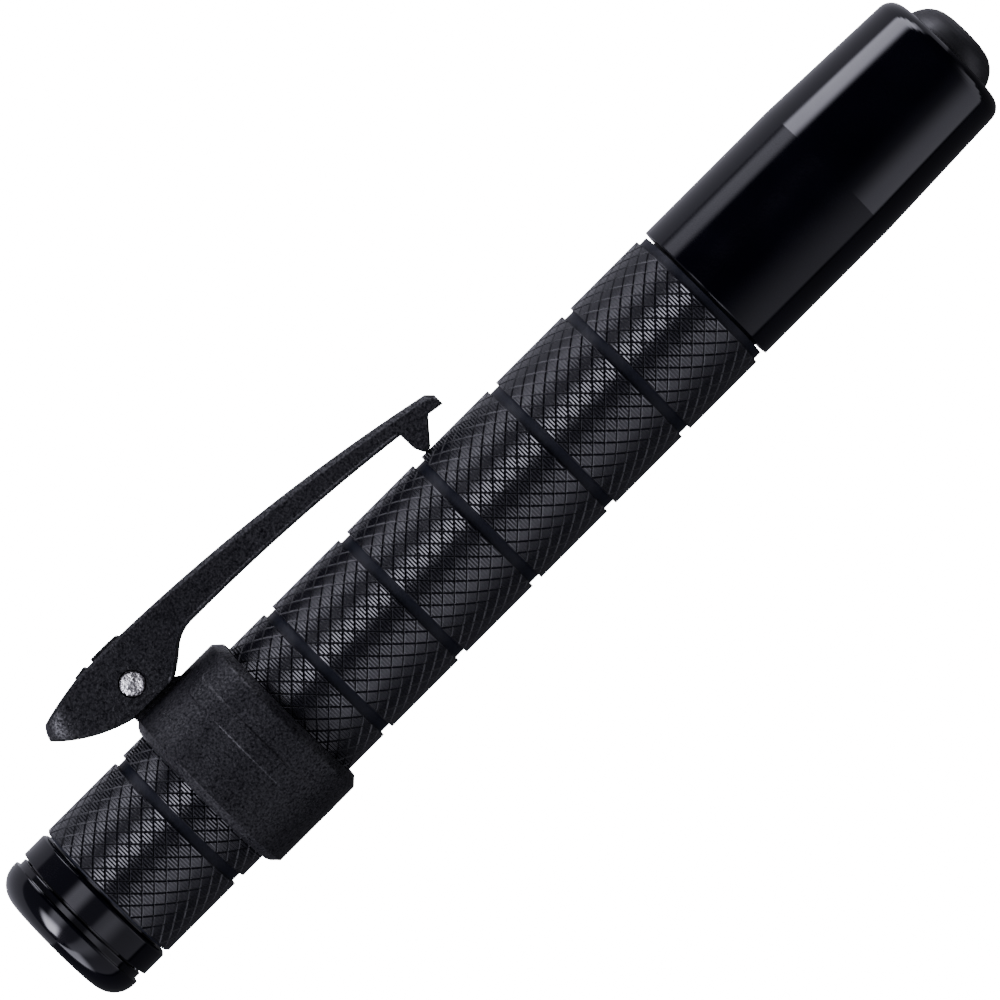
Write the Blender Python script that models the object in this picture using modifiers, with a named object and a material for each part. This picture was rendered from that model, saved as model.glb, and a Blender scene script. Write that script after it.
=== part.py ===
"""Counterfeit detector pen: a pen-sized ultraviolet torch with a knurled barrel and a sprung pocket clip.

The pen lies on its side on the plane Z = 0. Its lens end points to -X and its tail button to +X,
and the clip stands out towards +Y. Every length below is in millimetres, measured along the pen
from the front face of the lens end (s) and outwards from the pen's axis (r).
"""
import math

import bmesh
import bpy
from mathutils import Matrix, Vector

MM = 0.001

# Driving dimensions, in millimetres
PEN_LENGTH = 124.4
BODY_R = 8.2            # barrel, bezel and tail cap
COLLAR_R = 9.79         # clip collar, which the pen rests on
PAD_TOP_R = 16.95       # crown of the thumb pad, the furthest point from the axis
GROOVE_R = 7.81         # floor of every turned groove
CLEAR = 0.3             # gap between neighbouring pieces
STEPS = 28              # sides of a large round piece
SMALL_STEPS = 20        # sides of a small round piece

# Bezel, head ring and what they hold
BEZEL_END = 3.09
BEZEL_SKIRT_END = 3.85
BEZEL_CORNER_R = 2.7
BEZEL_LIP = 0.8         # thickness of the front lip
APERTURE_R = 4.7
HEAD_START = 4.15
HEAD_END = 6.93
NECK_R = 6.9            # head neck and barrel tail neck
SOCKET_R = 7.2          # bores that take a neck
HEAD_BORE_R = 5.8
HEAD_NOSE_START = 2.85
HEAD_NECK_END = 13.5
HEAD_CHAMFER = 0.3
HEAD_SEAL_S = 10.0
SEAL_WIRE_R, SEAL_SINK = 0.3, 0.15
LENS_SEAL_S, LENS_SEAL_R, LENS_SEAL_WIRE_R = 1.35, 5.7, 0.35
LENS_START, LENS_END, LENS_R = 1.9, 2.6, 6.6
REFLECTOR_START, REFLECTOR_END = 2.9, 9.0
REFLECTOR_MOUTH_R, REFLECTOR_HOLE_R, REFLECTOR_WALL = 5.1, 1.7, 0.4
LED_START, LED_END, LED_SIZE, LED_DOME_R = 9.3, 10.0, 3.5, 1.2
LED_BASE = 0.1          # how far the dome sinks into the LED's flat body
HOLDER_START, HOLDER_END = 10.0, 15.2
HOLDER_WEB_START, HOLDER_WEB_END = 11.6, 12.4
HOLDER_R, HOLDER_POCKET_R, WIRE_HOLE_R = 5.3, 4.8, 1.0
BOARD_R, BOARD_THICKNESS = 4.5, 1.0
LED_BOARD_START, DRIVER_BOARD_START = 10.3, 12.7
CONTACT_START, CONTACT_END, CONTACT_R = 14.0, 15.0, 1.6

# Barrel: bands of knurling parted by turned grooves
BARREL_START = 7.23
BAND_START = 7.43
BAND_PITCH = 10.16
BAND_WIDTH = 9.02
BAND_COUNT = 8
BORE_R = 5.6
SOCKET_END = 13.9
BARREL_CHAMFER = 0.2
BARREL_SHOULDER = 88.5
BARREL_END = 100.0
TAIL_SEAL_S = 91.0

# Size AAA cells
CELL_R = 5.25
CELL_LENGTH = 44.5
NUB_R, NUB_LENGTH = 1.9, 0.8
FRONT_CELL_START = 15.3
CELL_EDGE = 0.3

# Tail cap, switch and button
CAP_START = 88.8
CAP_TAPER_START = 105.3
CAP_END = 121.75
CAP_END_R = 7.67
CAP_CORNER_R = 1.65
CAP_SOCKET_END = 100.3
CAP_BORE_R = 6.7
CAP_LIP_START = 120.1
CAP_LIP_R = 5.45
CAP_EDGE = 0.15
RETAINER_START, RETAINER_END, RETAINER_R, RETAINER_BORE_R = 108.6, 109.9, 6.4, 4.7
SWITCH_BOARD_START, SWITCH_BOARD_END = 110.2, 111.2
SWITCH_START, SWITCH_FLOOR, SWITCH_END = 111.5, 112.6, 117.0
SWITCH_R, PLUNGER_BORE_R = 6.2, 2.1
PLUNGER_START, PLUNGER_END, PLUNGER_R = 115.1, 122.7, 1.8
BATTERY_SPRING_TURNS, BATTERY_SPRING_LENGTH, BATTERY_SPRING_WIRE_R = 3.75, 4.2, 0.35
BATTERY_SPRING_BASE_R, BATTERY_SPRING_TIP_R = 3.9, 2.7
SWITCH_SPRING_TURNS, SWITCH_SPRING_START, SWITCH_SPRING_LENGTH = 3.0, 113.1, 1.7
SWITCH_SPRING_R, SWITCH_SPRING_WIRE_R = 1.4, 0.15

# Rubber boot over the button: its (s, r) skin from the crown to the flange and back inside
BOOT_OUTLINE = [
    (PEN_LENGTH, 0), (124.3, 2.2), (123.96, 3.4), (123.5, 4.1), (122.8, 4.65), (122.0, 5.0),
    (121.6, 5.15), (119.8, 5.15), (119.8, 6.4), (118.9, 6.4), (118.9, 4.2), (121.7, 4.1),
    (122.6, 3.5), (123.1, 2.2), (123.2, 0)]

# Clip
COLLAR_START, COLLAR_END = 20.3, 32.0
COLLAR_CROWN_START, COLLAR_CROWN_END = 21.2, 31.15
COLLAR_FRONT_R, COLLAR_BACK_R = 8.75, 8.95
COLLAR_BORE_R, RIB_R = 8.5, 8.1
RIB_START, RIB_END = 26.9, 27.5
PIVOT_S, PIVOT_R = 23.2, 12.4
PIN_HEAD_R, PIN_SHANK_R = 1.28, 0.8
LEVER_HALF_WIDTH = 3.5
ARM_HALF_WIDTH = 2.8
SLOT_HALF_WIDTH = 2.4
EAR_IN, EAR_OUT = 1.4, 2.1
EAR_TOP_R = 2.0
PIN_CLEAR = 0.1
EAR_START, EAR_END, EAR_ROOT_R = 20.9, 26.1, 9.2
PIN_HEAD_SEAT, PIN_HEAD_IN, PIN_HEAD_OUT = 2.65, 2.75, 3.55
PAD_SEAT_R = 15.95
PAD_HALF_WIDTH = 2.5
RECESS_START, RECESS_END, RECESS_HALF_WIDTH = 19.3, 25.65, 2.8
SPRING_TURNS, SPRING_R, SPRING_WIRE_R, SPRING_HALF_WIDTH = 3.25, 1.3, 0.22, 0.95

# The pen's front face and axis in the world: centred in X and Y on its bounds, collar on Z = 0
FRONT_X = -PEN_LENGTH / 2
AXIS_Y = -(PAD_TOP_R - COLLAR_R) / 2
AXIS_Z = COLLAR_R

# Lever, seen from the side: (s, r, bulge) corners over the top towards the tail and back under the
# arm. Each stretch to the next corner is an arc that stands out by its bulge.
LEVER_OUTLINE = [
    (13.61, 14.05, 0.12),     # blunt thumb end
    (14.40, 15.54, 0.08),
    (19.61, 16.54, 0.0),
    (25.37, 16.58, 0.88),     # back of the arm
    (62.68, 12.20, 0.0),
    (63.50, 11.38, 0.08),     # arm's tip
    (63.36, 10.38, 0.0),
    (61.62, 10.66, 0.0),
    (59.53, 8.26, 0.0),       # tooth that grips the pocket
    (58.81, 8.24, 0.0),
    (58.33, 9.26, 0.0),
    (58.29, 11.10, -0.42),    # underside of the arm
    (31.74, 12.74, -0.35),
    (28.56, 11.66, 0.10),
    (26.02, 9.89, 0.0),       # cheeks over the collar
    (20.78, 9.93, 0.55),      # underside of the thumb end
]

# Lever, seen from the top: (s, half width)
LEVER_PLAN = [(13.0, 1.2), (14.1, 2.3), (15.0, 2.9), (16.0, 3.3), (18.0, LEVER_HALF_WIDTH),
              (26.0, LEVER_HALF_WIDTH), (32.0, 3.2), (40.0, ARM_HALF_WIDTH), (65.0, 2.6)]

# Thumb pad, seen from the side: (s, r) corners of two ridges with a notch between them
PAD_OUTLINE = [(19.6, PAD_SEAT_R + CLEAR), (19.6, 16.7), (20.95, 16.9), (20.95, 16.6), (21.95, 16.6),
               (21.95, 16.92), (23.0, PAD_TOP_R), (24.0, PAD_TOP_R), (25.35, 16.86),
               (25.35, PAD_SEAT_R + CLEAR)]

# Slot that the collar's ears stand in, seen from the side: (s, r) corners
EAR_SLOT = [(19.4, 8.5), (19.4, 13.4), (21.2, 14.9), (24.9, 14.9), (27.6, 12.6), (27.6, 8.5)]


def clear_scene():
    for obj in list(bpy.data.objects):
        bpy.data.objects.remove(obj, do_unlink=True)


def new_collection(name):
    collection = bpy.data.collections.new(name)
    bpy.context.scene.collection.children.link(collection)
    return collection


clear_scene()
PARTS = new_collection("counterfeit_detector_pen")
CUTTERS = new_collection("cutters")


def empty(name, location, rotation=(0, 0, 0), parent=None):
    """A frame for the pieces that share a joint or the pen's axis."""
    obj = bpy.data.objects.new(name, None)
    obj.location = location
    obj.rotation_euler = rotation
    obj.parent = parent
    PARTS.objects.link(obj)
    return obj


# Local Z of the axis frame runs along the pen from its front face
pen_axis = empty("pen_axis", Vector((FRONT_X, AXIS_Y, AXIS_Z)) * MM, (0, math.radians(90), 0))
# Local X and Y of the clip frame are s and r, with its origin on the lever's pivot
clip_pivot = empty("clip_pivot", Vector((FRONT_X + PIVOT_S, AXIS_Y + PIVOT_R, AXIS_Z)) * MM)


def material(name, colour, roughness, metallic=0.0, transmission=0.0):
    mat = bpy.data.materials.new(name)
    mat.use_nodes = True
    shader = mat.node_tree.nodes["Principled BSDF"]
    shader.inputs["Base Color"].default_value = (*colour, 1.0)
    shader.inputs["Roughness"].default_value = roughness
    shader.inputs["Metallic"].default_value = metallic
    shader.inputs["Transmission Weight"].default_value = transmission
    mat.diffuse_color = (*colour, 1.0)
    return mat


def bake(obj):
    """Make the modifiers' result the object's own mesh, smooth apart from its corners."""
    mesh = bpy.data.meshes.new_from_object(obj.evaluated_get(bpy.context.evaluated_depsgraph_get()))
    obj.modifiers.clear()
    obj.data = mesh
    mesh.shade_smooth()
    mesh.set_sharp_from_angle(angle=math.radians(32))
    return obj


def add_mesh(name, mesh, parent, mat=None):
    """Put a mesh in the scene as a piece, or as a cutter if it has no material."""
    obj = bpy.data.objects.new(name, mesh)
    obj.parent = parent
    if mat is None:
        CUTTERS.objects.link(obj)
        obj.hide_render = True
        obj.display_type = "WIRE"
    else:
        PARTS.objects.link(obj)
        mesh.materials.append(mat)
    return obj


def arc(centre_s, centre_r, radius, start, end, count):
    """Points on a circle in the (s, r) plane, with angles in degrees from the +s direction."""
    angles = [math.radians(start + (end - start) * i / count) for i in range(count + 1)]
    return [(centre_s + radius * math.cos(a), centre_r + radius * math.sin(a)) for a in angles]


def turn(name, mat, points, edges, parent, steps):
    mesh = bpy.data.meshes.new(name)
    mesh.from_pydata([(r * MM, 0, along * MM) for along, r in points], edges, [])
    obj = add_mesh(name, mesh, parent, mat)
    screw = obj.modifiers.new("Turn", "SCREW")
    screw.axis = "Z"
    screw.steps = screw.render_steps = steps
    screw.use_merge_vertices = True
    screw.merge_threshold = 0.00001
    return bake(obj)


def turned(name, mat, outer, inner, steps=STEPS, parent=pen_axis):
    """A turned ring or sleeve: its outside and its bore, as (s, r) corners from front to tail."""
    points = outer[::-1] + inner
    edges = [(i, (i + 1) % len(points)) for i in range(len(points))]
    return turn(name, mat, points, edges, parent, steps)


def turned_solid(name, mat, outer, steps=SMALL_STEPS, parent=pen_axis):
    """A turned solid: its outside as (s, r) corners, closed along the axis at both ends."""
    points = [(outer[-1][0], 0.0)] + outer[::-1] + [(outer[0][0], 0.0)]
    edges = [(i, i + 1) for i in range(len(points) - 1)]
    return turn(name, mat, points, edges, parent, steps)


def turned_cup(name, mat, points, steps=SMALL_STEPS):
    """A turned cup: (s, r) corners from the axis to the axis, its outside running from tail to front."""
    edges = [(i, i + 1) for i in range(len(points) - 1)]
    return turn(name, mat, points, edges, pen_axis, steps)


def disc(name, mat, start, end, radius, steps=SMALL_STEPS):
    return turned_solid(name, mat, [(start, radius), (end, radius)], steps)


def o_ring(name, mat, centre_s, major_r, minor_r):
    """A rubber ring of round section."""
    outer = arc(centre_s, major_r, minor_r, 180, 0, 4)
    inner = arc(centre_s, major_r, minor_r, 180, 360, 4)[1:-1]
    return turned(name, mat, outer, inner, steps=24)


def mesh_of_curve(curve, points):
    """The closed mesh of a curve through local points in millimetres, its caps welded on."""
    spline = curve.splines.new("POLY")
    spline.points.add(len(points) - 1)
    for point, place in zip(spline.points, points):
        point.co = (*(Vector(place).to_3d() * MM), 1.0)
    spline.use_cyclic_u = curve.dimensions == "2D"
    guide = bpy.data.objects.new("guide", curve)
    PARTS.objects.link(guide)
    mesh = bpy.data.meshes.new_from_object(guide.evaluated_get(bpy.context.evaluated_depsgraph_get()))
    bpy.data.objects.remove(guide, do_unlink=True)
    welded = bmesh.new()
    welded.from_mesh(mesh)
    bmesh.ops.remove_doubles(welded, verts=welded.verts, dist=0.000001)
    bmesh.ops.recalc_face_normals(welded, faces=welded.faces)
    welded.to_mesh(mesh)
    welded.free()
    mesh.materials.clear()
    return mesh


def wire(name, mat, points, radius, parent):
    """A round wire along local points."""
    curve = bpy.data.curves.new(name, "CURVE")
    curve.dimensions = "3D"
    curve.bevel_depth = radius * MM
    curve.bevel_resolution = 1
    curve.use_fill_caps = True
    mesh = mesh_of_curve(curve, points)
    mesh.shade_smooth()
    return add_mesh(name, mesh, parent, mat)


def plate(name, mat, points, low, high, seen_from_top=False):
    """A flat outline of (s, r) points pushed out in Z from low to high, in the clip's frame.

    Seen from the top its points are (s, z), pushed out in r instead.
    """
    curve = bpy.data.curves.new(name, "CURVE")
    curve.dimensions = "2D"
    curve.fill_mode = "BOTH"
    curve.extrude = (high - low) / 2 * MM
    mesh = mesh_of_curve(curve, points)
    middle = (low + high) / 2
    if seen_from_top:
        mesh.transform(Matrix.Rotation(math.radians(90), 4, "X"))
        mesh.transform(Matrix.Translation(Vector((-PIVOT_S, middle - PIVOT_R, 0)) * MM))
    else:
        mesh.transform(Matrix.Translation(Vector((-PIVOT_S, -PIVOT_R, middle)) * MM))
    return add_mesh(name, mesh, clip_pivot, mat)


def rounded_outline(corners):
    """Points of a closed outline whose stretches are arcs: (x, y, bulge) corners, clockwise."""
    points = []
    for (x0, y0, bulge), (x1, y1, _) in zip(corners, corners[1:] + corners[:1]):
        chord = math.hypot(x1 - x0, y1 - y0)
        count = 1 if bulge == 0 else 2 * max(2, round(chord / 8))
        for i in range(count):
            t = i / count
            lift = 4 * bulge * t * (1 - t) / chord
            points.append((x0 + (x1 - x0) * t - (y1 - y0) * lift, y0 + (y1 - y0) * t + (x1 - x0) * lift))
    return points


def boolean(obj, operand, operation):
    modifier = obj.modifiers.new(operation.title(), "BOOLEAN")
    modifier.operation = operation
    modifier.object = operand


# Materials
black_gloss = material("gloss_black_anodised", (0.012, 0.012, 0.016), 0.12, 0.7)
black_knurl = material("knurled_black_anodised", (0.02, 0.02, 0.023), 0.35, 0.7)
black_plastic = material("textured_black_plastic", (0.03, 0.03, 0.033), 0.6)
black_rubber = material("black_rubber", (0.02, 0.02, 0.02), 0.7)
clear_glass = material("clear_glass", (0.95, 0.97, 1.0), 0.03, transmission=0.9)
mirror = material("bright_reflector", (0.85, 0.86, 0.88), 0.08, 1.0)
led_ceramic = material("led_ceramic", (0.85, 0.84, 0.75), 0.4)
board_mask = material("board_mask", (0.02, 0.12, 0.05), 0.4)
brass = material("brass", (0.72, 0.53, 0.22), 0.3, 1.0)
cell_wrap = material("cell_wrap", (0.25, 0.27, 0.3), 0.35, 0.6)
bright_steel = material("bright_steel", (0.6, 0.6, 0.62), 0.25, 1.0)
switch_plastic = material("switch_plastic", (0.5, 0.5, 0.48), 0.5)


def make_head():
    corner = arc(BEZEL_CORNER_R, BODY_R - BEZEL_CORNER_R, BEZEL_CORNER_R, 180, 90, 5)
    turned("bezel_ring", black_gloss,
           [(0, APERTURE_R)] + corner
           + [(BEZEL_END, BODY_R), (BEZEL_END, GROOVE_R), (BEZEL_SKIRT_END, GROOVE_R)],
           [(BEZEL_LIP, APERTURE_R), (BEZEL_LIP, SOCKET_R), (BEZEL_SKIRT_END, SOCKET_R)])
    o_ring("lens_seal", black_rubber, LENS_SEAL_S, LENS_SEAL_R, LENS_SEAL_WIRE_R)
    disc("lens", clear_glass, LENS_START, LENS_END, LENS_R, STEPS)
    turned("head_ring", black_gloss,
           [(HEAD_NOSE_START, NECK_R), (HEAD_START, NECK_R), (HEAD_START, BODY_R),
            (HEAD_END - HEAD_CHAMFER, BODY_R), (HEAD_END, BODY_R - HEAD_CHAMFER), (HEAD_END, NECK_R)]
           + seal_groove(HEAD_SEAL_S, NECK_R) + [(HEAD_NECK_END, NECK_R)],
           [(HEAD_NOSE_START, HEAD_BORE_R), (HEAD_NECK_END, HEAD_BORE_R)])
    o_ring("head_seal", black_rubber, HEAD_SEAL_S, NECK_R - SEAL_SINK, SEAL_WIRE_R)


def seal_groove(centre, radius):
    """Corners of the groove that an O-ring sits in."""
    half_width, depth = 0.6, 0.55
    return [(centre - half_width, radius), (centre - half_width, radius - depth),
            (centre + half_width, radius - depth), (centre + half_width, radius)]


def make_light():
    # The reflector's bowl is the parabola through its mouth and its hole
    slope = (REFLECTOR_MOUTH_R ** 2 - REFLECTOR_HOLE_R ** 2) / (REFLECTOR_END - REFLECTOR_START)
    vertex = REFLECTOR_END + REFLECTOR_HOLE_R ** 2 / slope
    stations = [REFLECTOR_START + (REFLECTOR_END - REFLECTOR_START) * i / 6 for i in range(7)]
    bowl = [(s, math.sqrt(slope * (vertex - s))) for s in stations]
    turned("reflector", mirror, [(s, r + REFLECTOR_WALL) for s, r in bowl], bowl)

    chip = bmesh.new()
    bmesh.ops.create_cube(chip, size=1.0)
    bmesh.ops.scale(chip, vec=Vector((LED_SIZE, LED_SIZE, LED_END - LED_START)) * MM, verts=chip.verts)
    bmesh.ops.translate(chip, vec=(0, 0, (LED_START + LED_END) / 2 * MM), verts=chip.verts)
    mesh = bpy.data.meshes.new("led_emitter")
    chip.to_mesh(mesh)
    chip.free()
    emitter = add_mesh("led_emitter", mesh, pen_axis, led_ceramic)
    dome = arc(LED_START + LED_BASE, 0, LED_DOME_R, 175, 90, 4)
    boolean(emitter, turned_solid("led_dome", None, dome + [(LED_END - LED_BASE, LED_DOME_R)]), "UNION")

    disc("led_board", board_mask, LED_BOARD_START, LED_BOARD_START + BOARD_THICKNESS, BOARD_R)
    turned("led_holder", brass,
           [(HOLDER_START, HOLDER_R), (HOLDER_END, HOLDER_R)],
           [(HOLDER_START, HOLDER_POCKET_R), (HOLDER_WEB_START, HOLDER_POCKET_R),
            (HOLDER_WEB_START, WIRE_HOLE_R), (HOLDER_WEB_END, WIRE_HOLE_R),
            (HOLDER_WEB_END, HOLDER_POCKET_R), (HOLDER_END, HOLDER_POCKET_R)])
    disc("driver_board", board_mask, DRIVER_BOARD_START, DRIVER_BOARD_START + BOARD_THICKNESS, BOARD_R)
    disc("driver_contact", brass, CONTACT_START, CONTACT_END, CONTACT_R)


def make_barrel():
    outer = [(BARREL_START, BODY_R - BARREL_CHAMFER), (BAND_START, BODY_R)]
    for band in range(BAND_COUNT):
        start = BAND_START + band * BAND_PITCH
        if band:
            outer += [(start, GROOVE_R), (start, BODY_R)]
        outer += [(start + BAND_WIDTH, BODY_R), (start + BAND_WIDTH, GROOVE_R)]
    outer += [(BARREL_SHOULDER, GROOVE_R), (BARREL_SHOULDER, NECK_R)]
    outer += seal_groove(TAIL_SEAL_S, NECK_R) + [(BARREL_END, NECK_R)]
    turned("barrel", black_knurl, outer,
           [(BARREL_START, SOCKET_R), (SOCKET_END, SOCKET_R), (SOCKET_END, BORE_R), (BARREL_END, BORE_R)])
    o_ring("tail_seal", black_rubber, TAIL_SEAL_S, NECK_R - SEAL_SINK, SEAL_WIRE_R)


def make_cells():
    for name, start in (("battery_front", FRONT_CELL_START),
                        ("battery_rear", FRONT_CELL_START + CELL_LENGTH + CLEAR)):
        shoulder, end = start + NUB_LENGTH, start + CELL_LENGTH
        turned_solid(name, cell_wrap,
                     [(start, NUB_R), (shoulder, NUB_R), (shoulder, CELL_R - CELL_EDGE),
                      (shoulder + CELL_EDGE, CELL_R), (end - CELL_EDGE, CELL_R),
                      (end, CELL_R - CELL_EDGE)])


def make_tail():
    corner = arc(CAP_END - CAP_CORNER_R, CAP_END_R - CAP_CORNER_R, CAP_CORNER_R, 90, 0, 4)
    turned("tail_cap", black_gloss,
           [(CAP_START, BODY_R - CAP_EDGE), (CAP_START + CAP_EDGE, BODY_R), (CAP_TAPER_START, BODY_R)]
           + corner,
           [(CAP_START, SOCKET_R), (CAP_SOCKET_END, SOCKET_R), (CAP_SOCKET_END, CAP_BORE_R),
            (CAP_LIP_START, CAP_BORE_R), (CAP_LIP_START, CAP_LIP_R), (CAP_END, CAP_LIP_R)])
    turned("switch_retainer", brass,
           [(RETAINER_START, RETAINER_R), (RETAINER_END, RETAINER_R)],
           [(RETAINER_START, RETAINER_BORE_R), (RETAINER_END, RETAINER_BORE_R)])
    disc("switch_board", board_mask, SWITCH_BOARD_START, SWITCH_BOARD_END, SWITCH_R)
    turned_cup("switch_housing", switch_plastic,
               [(SWITCH_FLOOR, 0), (SWITCH_FLOOR, PLUNGER_BORE_R), (SWITCH_END, PLUNGER_BORE_R),
                (SWITCH_END, SWITCH_R), (SWITCH_START, SWITCH_R), (SWITCH_START, 0)])
    turned_solid("switch_plunger", switch_plastic, [(PLUNGER_START, PLUNGER_R), (PLUNGER_END, PLUNGER_R)])
    turned_cup("button_boot", black_rubber, BOOT_OUTLINE, STEPS)

    base = SWITCH_BOARD_START - CLEAR - BATTERY_SPRING_WIRE_R
    taper = BATTERY_SPRING_BASE_R - BATTERY_SPRING_TIP_R
    battery_coil = [(base - BATTERY_SPRING_LENGTH * t, BATTERY_SPRING_BASE_R - taper * t)
                    for t in steps_to_one(56)]
    wire("battery_spring", bright_steel, helix(battery_coil, BATTERY_SPRING_TURNS),
         BATTERY_SPRING_WIRE_R, pen_axis)
    switch_coil = [(SWITCH_SPRING_START + SWITCH_SPRING_LENGTH * t, SWITCH_SPRING_R)
                   for t in steps_to_one(36)]
    wire("switch_spring", bright_steel, helix(switch_coil, SWITCH_SPRING_TURNS),
         SWITCH_SPRING_WIRE_R, pen_axis)


def steps_to_one(count):
    return [i / count for i in range(count + 1)]


def helix(path, turns):
    """Points of a coil about local Z: its (height, radius) path wound round at an even rate."""
    points = []
    for i, (height, radius) in enumerate(path):
        angle = 2 * math.pi * turns * i / (len(path) - 1)
        points.append((radius * math.cos(angle), radius * math.sin(angle), height))
    return points


def make_collar():
    collar = turned("clip_collar", black_plastic,
                    [(COLLAR_START, COLLAR_FRONT_R), (COLLAR_CROWN_START, COLLAR_R),
                     (COLLAR_CROWN_END, COLLAR_R), (COLLAR_END, COLLAR_BACK_R)],
                    [(COLLAR_START, COLLAR_BORE_R), (RIB_START, COLLAR_BORE_R), (RIB_START, RIB_R),
                     (RIB_END, RIB_R), (RIB_END, COLLAR_BORE_R), (COLLAR_END, COLLAR_BORE_R)])
    ear = ([(EAR_START, EAR_ROOT_R)] + arc(PIVOT_S, PIVOT_R, EAR_TOP_R, 185, -5, 8)
           + [(EAR_END, EAR_ROOT_R)])
    pin_hole = turned_solid("ear_hole", None, [(-3, PIN_SHANK_R + PIN_CLEAR), (3, PIN_SHANK_R + PIN_CLEAR)],
                            parent=clip_pivot)
    for side, (low, high) in {"left": (-EAR_OUT, -EAR_IN), "right": (EAR_IN, EAR_OUT)}.items():
        boolean(collar, plate("ear_" + side, None, ear, low, high), "UNION")
    boolean(collar, pin_hole, "DIFFERENCE")


def make_lever():
    lever = plate("clip_lever", black_plastic, rounded_outline(LEVER_OUTLINE), -4, 4)
    plan = LEVER_PLAN + [(s, -half) for s, half in reversed(LEVER_PLAN)]
    recess = [(RECESS_START, PAD_SEAT_R), (RECESS_START, 18.0), (RECESS_END, 18.0),
              (RECESS_END, PAD_SEAT_R)]
    head_r, shank_r = PIN_HEAD_R + PIN_CLEAR, PIN_SHANK_R + PIN_CLEAR
    pin_bore = [(-4, head_r), (-PIN_HEAD_SEAT, head_r), (-PIN_HEAD_SEAT, shank_r),
                (PIN_HEAD_SEAT, shank_r), (PIN_HEAD_SEAT, head_r), (4, head_r)]
    boolean(lever, plate("lever_plan", None, plan, 6, 20, seen_from_top=True), "INTERSECT")
    boolean(lever, plate("ear_slot", None, EAR_SLOT, -SLOT_HALF_WIDTH, SLOT_HALF_WIDTH), "DIFFERENCE")
    boolean(lever, plate("pad_recess", None, recess, -RECESS_HALF_WIDTH, RECESS_HALF_WIDTH), "DIFFERENCE")
    boolean(lever, turned_solid("pin_bore", None, pin_bore, parent=clip_pivot), "DIFFERENCE")

    plate("thumb_pad", black_plastic, PAD_OUTLINE, -PAD_HALF_WIDTH, PAD_HALF_WIDTH)
    turned_solid("pivot_pin", bright_steel,
                 [(-PIN_HEAD_OUT, PIN_HEAD_R), (-PIN_HEAD_IN, PIN_HEAD_R), (-PIN_HEAD_IN, PIN_SHANK_R),
                  (PIN_HEAD_IN, PIN_SHANK_R), (PIN_HEAD_IN, PIN_HEAD_R), (PIN_HEAD_OUT, PIN_HEAD_R)],
                 parent=clip_pivot)


def make_clip_spring():
    """A torsion spring round the pin, its legs against the collar and the lever's thumb end."""
    side = SPRING_HALF_WIDTH
    coil = helix([(-side + 2 * side * t, SPRING_R) for t in steps_to_one(39)], SPRING_TURNS)
    lower_leg = [(-0.5, -2.15, -side), (0.9, -1.2, -side)]
    upper_leg = [(-1.6, 1.5, side), (-3.0, 1.0, side)]
    wire("clip_spring", bright_steel, lower_leg + coil + upper_leg, SPRING_WIRE_R, clip_pivot)


make_head()
make_light()
make_barrel()
make_cells()
make_tail()
make_collar()
make_lever()
make_clip_spring()
bpy.context.view_layer.update()
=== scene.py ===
import math

import bmesh
import bpy
import numpy as np
from mathutils import Matrix, Vector


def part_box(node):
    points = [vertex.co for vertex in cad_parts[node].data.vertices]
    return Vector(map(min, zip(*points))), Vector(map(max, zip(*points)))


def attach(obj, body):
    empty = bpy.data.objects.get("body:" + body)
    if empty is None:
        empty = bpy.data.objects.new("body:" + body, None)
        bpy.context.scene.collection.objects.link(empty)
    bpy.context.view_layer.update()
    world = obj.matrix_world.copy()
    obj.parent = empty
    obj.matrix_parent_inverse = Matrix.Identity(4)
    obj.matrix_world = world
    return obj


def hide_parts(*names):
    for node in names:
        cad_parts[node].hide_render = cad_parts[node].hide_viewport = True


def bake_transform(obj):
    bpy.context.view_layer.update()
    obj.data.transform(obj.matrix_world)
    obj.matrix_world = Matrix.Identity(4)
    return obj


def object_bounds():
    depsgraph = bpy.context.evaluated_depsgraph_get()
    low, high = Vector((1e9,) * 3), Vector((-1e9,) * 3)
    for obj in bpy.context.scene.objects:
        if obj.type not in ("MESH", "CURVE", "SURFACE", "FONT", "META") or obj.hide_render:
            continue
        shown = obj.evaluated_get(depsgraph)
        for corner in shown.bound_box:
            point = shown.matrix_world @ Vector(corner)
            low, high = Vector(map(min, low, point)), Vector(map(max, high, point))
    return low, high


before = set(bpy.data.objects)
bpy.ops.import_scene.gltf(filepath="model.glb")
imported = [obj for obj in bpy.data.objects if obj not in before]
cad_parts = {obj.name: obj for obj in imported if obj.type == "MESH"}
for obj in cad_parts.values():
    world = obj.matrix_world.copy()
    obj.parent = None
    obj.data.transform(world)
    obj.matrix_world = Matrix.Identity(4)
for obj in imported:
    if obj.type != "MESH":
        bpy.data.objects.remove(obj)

MM = 0.001

# The pen's own coordinates, in millimetres: s runs along it from the front face, r stands out from
# its axis towards the clip, and z stands out sideways. The CAD gives where they start.
cad_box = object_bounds()
barrel_low, barrel_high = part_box("barrel")
FRONT_X = cad_box[0].x
AXIS_Y = (barrel_low.y + barrel_high.y) / 2
AXIS_Z = (barrel_low.z + barrel_high.z) / 2


def at(s, r=0.0, z=0.0):
    return Vector((FRONT_X + s * MM, AXIS_Y + r * MM, AXIS_Z + z * MM))


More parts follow.
